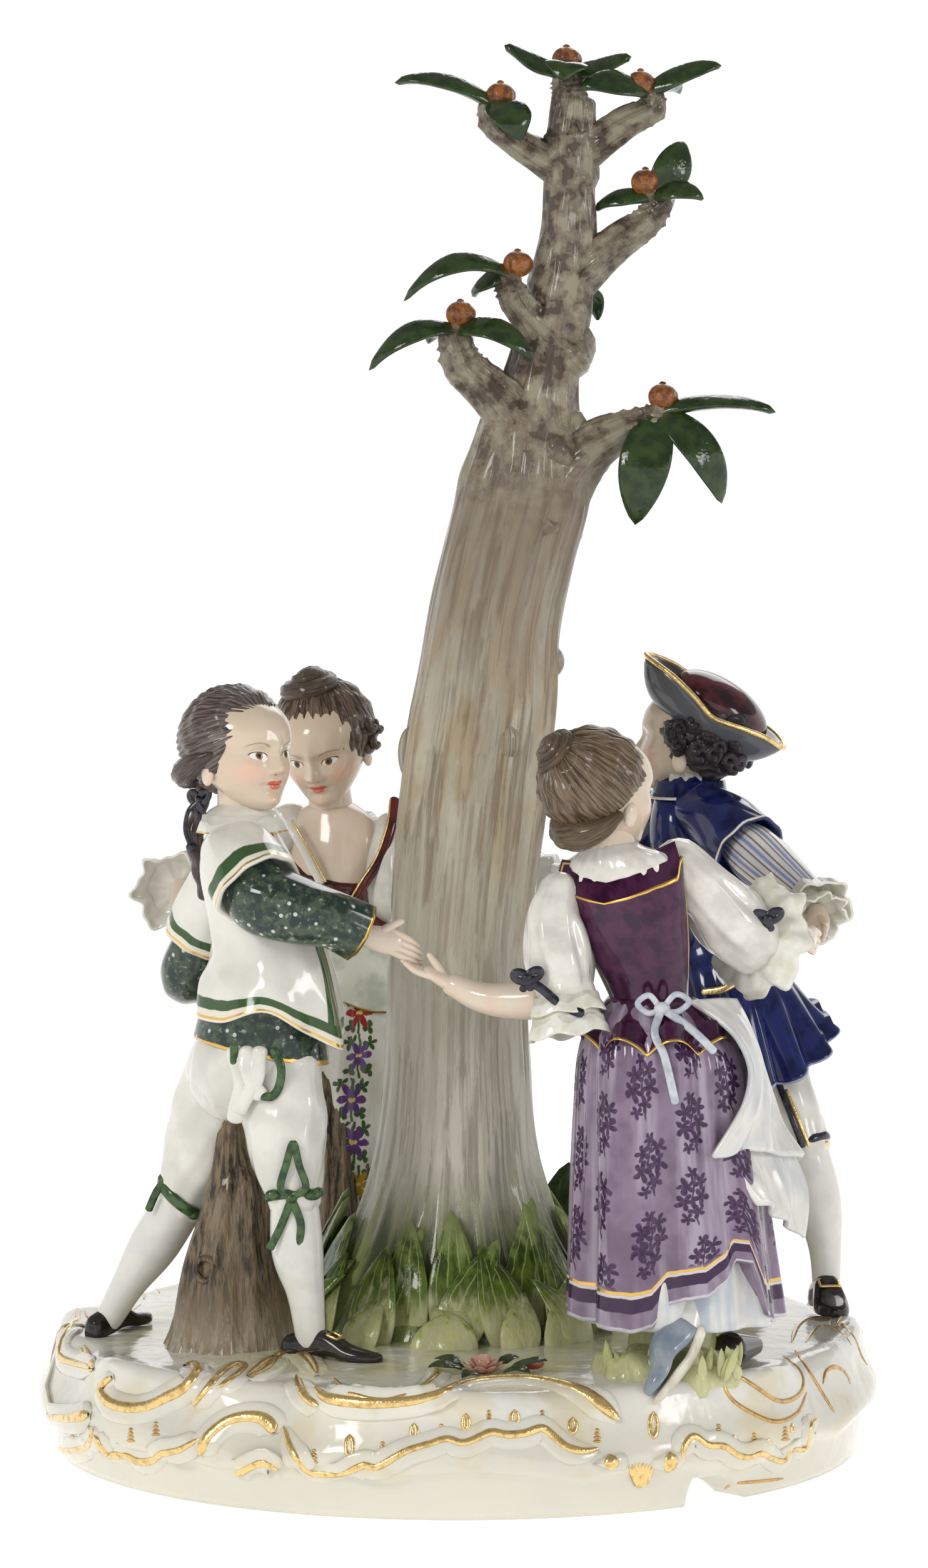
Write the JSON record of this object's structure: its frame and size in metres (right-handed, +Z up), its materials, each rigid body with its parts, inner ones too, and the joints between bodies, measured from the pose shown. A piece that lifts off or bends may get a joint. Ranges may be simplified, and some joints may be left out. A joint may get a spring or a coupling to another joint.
{
  "type": "porcelain figure group",
  "caption": "Porcelain figure group of children dancing hand in hand in a ring round a tree, on a low round rococo scroll base, painted in enamels and gold.",
  "frame": {"origin": "centre of the foot ring's underside", "axes": "+Z up the tree, -Y towards the viewer of the picture, +X to the viewer's right"},
  "size_m": [0.1716, 0.1716, 0.2828],
  "materials": {
    "painted_porcelain": "clear glossy glaze over white porcelain, painted in enamel colours and gold"
  },
  "bodies": {
    "root": {"porcelain_group": "painted_porcelain"}
  },
  "joints": []
}
